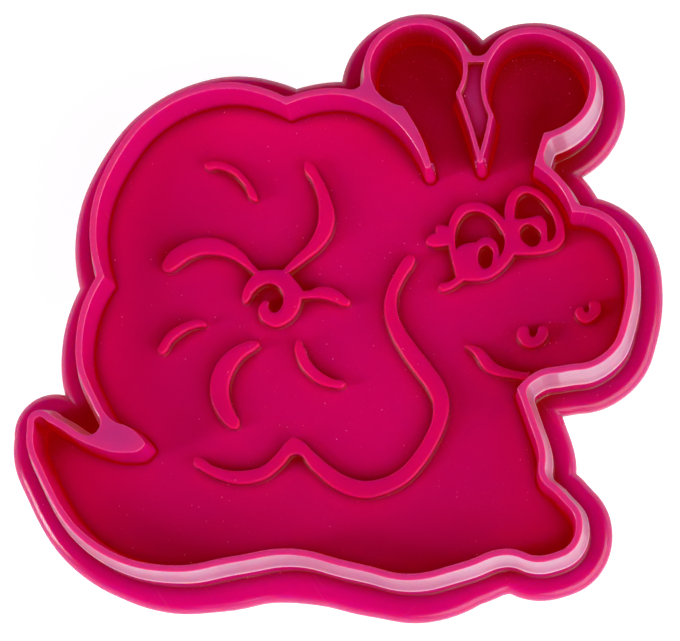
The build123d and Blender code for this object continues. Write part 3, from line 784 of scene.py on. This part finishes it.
@dataclass
class PhotoCamera:
    """Camera at the photograph's angle, above the mouth and a little to the lower right."""

    tilt: float = 10.05
    turn: float = 24.5
    distance: float = 370.0
    drop: float = 0.919
    edge_height: float = 35.2
    focal_pixels: float = 3422.5
    image_width: float = 680.0
    sensor: float = 36.0
    nearest: float = 10.0

    def place(self) -> None:
        """Adds the camera and makes it the scene's."""
        tilt, turn = radians(self.tilt), radians(self.turn)
        back = Vector((sin(tilt) * sin(turn), -sin(tilt) * cos(turn), cos(tilt)))
        pose = Vector((0, 0, 1)).rotation_difference(back)
        up = pose @ Vector((0, 1, 0))
        spot = back * self.distance - up * self.drop + Vector((0, 0, self.edge_height))
        data = bpy.data.cameras.new("photo_camera")
        data.sensor_width = self.sensor
        data.lens = self.focal_pixels * self.sensor / self.image_width
        data.clip_start = self.nearest * MM
        camera = bpy.data.objects.new("photo_camera", data)
        camera.rotation_mode = "QUATERNION"
        camera.rotation_quaternion = pose
        camera.location = spot * MM
        bpy.context.scene.collection.objects.link(camera)
        bpy.context.scene.camera = camera


@dataclass(frozen=True)
class Softbox:
    """One large diffused lamp, placed round the object."""

    name: str
    azimuth: float
    elevation: float
    distance: float
    width: float
    height: float
    watts: float
    tint: str = "#ffffff"

    def place(self, aim: Vector) -> None:
        """Adds the lamp, turned to the object.

        Args:
            aim: The point that it faces, in metres.
        """
        data = bpy.data.lights.new(self.name, "AREA")
        data.shape = "RECTANGLE"
        data.size = self.width
        data.size_y = self.height
        data.energy = self.watts
        data.color = linear(self.tint)[:3]
        lamp = bpy.data.objects.new(self.name, data)
        azimuth, elevation = radians(self.azimuth), radians(self.elevation)
        out = Vector((cos(azimuth) * cos(elevation), sin(azimuth) * cos(elevation), sin(elevation)))
        lamp.rotation_mode = "QUATERNION"
        lamp.rotation_quaternion = out.to_track_quat("Z", "Y")
        lamp.location = aim + out * self.distance
        bpy.context.scene.collection.objects.link(lamp)


@dataclass
class Studio:
    """Pale floor, white surroundings and soft lamps."""

    floor_size: float = 6.0
    floor_drop: float = 0.05
    floor_colour: str = "#e9e9ea"
    floor_glow: float = 0.58
    horizon: float = 1.5
    zenith: float = 0.0
    dim_from: float = 45.0
    aim: Tuple[float, float, float] = (0.0, 0.0, 0.03)
    lamps: List[Softbox] = field(default_factory=lambda: [
        Softbox(name="strip_left", azimuth=200.0, elevation=34.0, distance=0.9,
                width=0.14, height=0.5, watts=4.0),
        Softbox(name="softbox_right", azimuth=-40.0, elevation=40.0, distance=0.9,
                width=1.2, height=0.7, watts=8.0),
    ])

    def _floor(self) -> None:
        """Lays a plain pale floor that keeps the object's shadow.

        It is clear from below and under the knob's face, so that the underside can be seen.
        """
        bm = bmesh.new()
        bmesh.ops.create_grid(bm, x_segments=1, y_segments=1, size=self.floor_size / 2,
                              matrix=Matrix.Translation((0, 0, -self.floor_drop * MM)))
        mesh = bpy.data.meshes.new("studio_floor")
        bm.to_mesh(mesh)
        bm.free()
        floor = bpy.data.objects.new("studio_floor", mesh)
        bpy.context.scene.collection.objects.link(floor)
        material, tree = empty_material("studio_paper")
        ray = add_node(tree, "ShaderNodeLightPath")
        seen = add_node(tree, "ShaderNodeMath", {
            0: ray.outputs["Is Camera Ray"], 1: ray.outputs["Is Glossy Ray"],
        }, operation="ADD")
        shown = add_node(tree, "ShaderNodeMath", {
            0: seen.outputs["Value"], 1: ray.outputs["Is Transmission Ray"],
        }, operation="ADD", use_clamp=True)
        glow = add_node(tree, "ShaderNodeMath", {
            0: shown.outputs["Value"], 1: self.floor_glow,
        }, operation="MULTIPLY")
        paper = add_node(tree, "ShaderNodeBsdfPrincipled", {
            "Base Color": linear(self.floor_colour),
            "Roughness": 0.9,
            "Specular IOR Level": 0.0,
            "Emission Color": (1.0, 1.0, 1.0, 1.0),
            "Emission Strength": glow.outputs["Value"],
        })
        clear = add_node(tree, "ShaderNodeBsdfTransparent")
        touching = add_node(tree, "ShaderNodeMath", {
            0: ray.outputs["Ray Length"], 1: 2 * self.floor_drop * MM,
        }, operation="LESS_THAN")
        passing = add_node(tree, "ShaderNodeMath", {
            0: add_node(tree, "ShaderNodeNewGeometry").outputs["Backfacing"],
            1: touching.outputs["Value"],
        }, operation="MAXIMUM")
        sided = add_node(tree, "ShaderNodeMixShader", {
            0: passing.outputs["Value"],
            1: paper.outputs["BSDF"], 2: clear.outputs["BSDF"],
        })
        add_node(tree, "ShaderNodeOutputMaterial", {"Surface": sided.outputs["Shader"]})
        mesh.materials.append(material)

    def _surround(self) -> None:
        """Lights the world as a white tent that is dimmer overhead, where the camera looks in."""
        world = bpy.data.worlds.new("light_tent")
        bpy.context.scene.world = world
        world.use_nodes = True
        tree = world.node_tree
        tree.nodes.clear()
        direction = add_node(tree, "ShaderNodeTexCoord").outputs["Generated"]
        height = add_node(tree, "ShaderNodeSeparateXYZ", {"Vector": direction})
        tent = add_node(tree, "ShaderNodeMapRange", {
            "Value": height.outputs["Z"], "From Max": sin(radians(self.dim_from)),
            "To Min": self.horizon, "To Max": self.zenith,
        }, interpolation_type="SMOOTHSTEP")
        ray = add_node(tree, "ShaderNodeLightPath")
        shown = add_node(tree, "ShaderNodeMix", {
            "Factor": ray.outputs["Is Camera Ray"], "A": tent.outputs["Result"], "B": 1.0,
        }, data_type="FLOAT")
        light = add_node(tree, "ShaderNodeBackground", {
            "Color": (1.0, 1.0, 1.0, 1.0), "Strength": shown.outputs["Result"],
        })
        add_node(tree, "ShaderNodeOutputWorld", {"Surface": light.outputs["Background"]})

    def build(self) -> None:
        """Sets the floor, the surroundings, the lamps and the plain view transform."""
        self._floor()
        self._surround()
        for lamp in self.lamps:
            lamp.place(Vector(self.aim))
        bpy.context.scene.view_settings.view_transform = "Standard"


def main() -> None:
    """Builds the studio, dresses the cutter and reports each piece."""
    logging.basicConfig(level=logging.INFO, format="%(name)s: %(message)s")
    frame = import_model()
    nodes = frame["nodes"]
    PhotoCamera().place()
    Studio().build()
    CutterShell().dress(nodes["cutter_shell"])
    StampPlate().dress(nodes["stamp_plate"])
    Plunger().dress([nodes["plunger_stem"], nodes["press_knob"]])
    ReturnSpring().seat_on_frame()


if __name__ == "__main__":
    main()
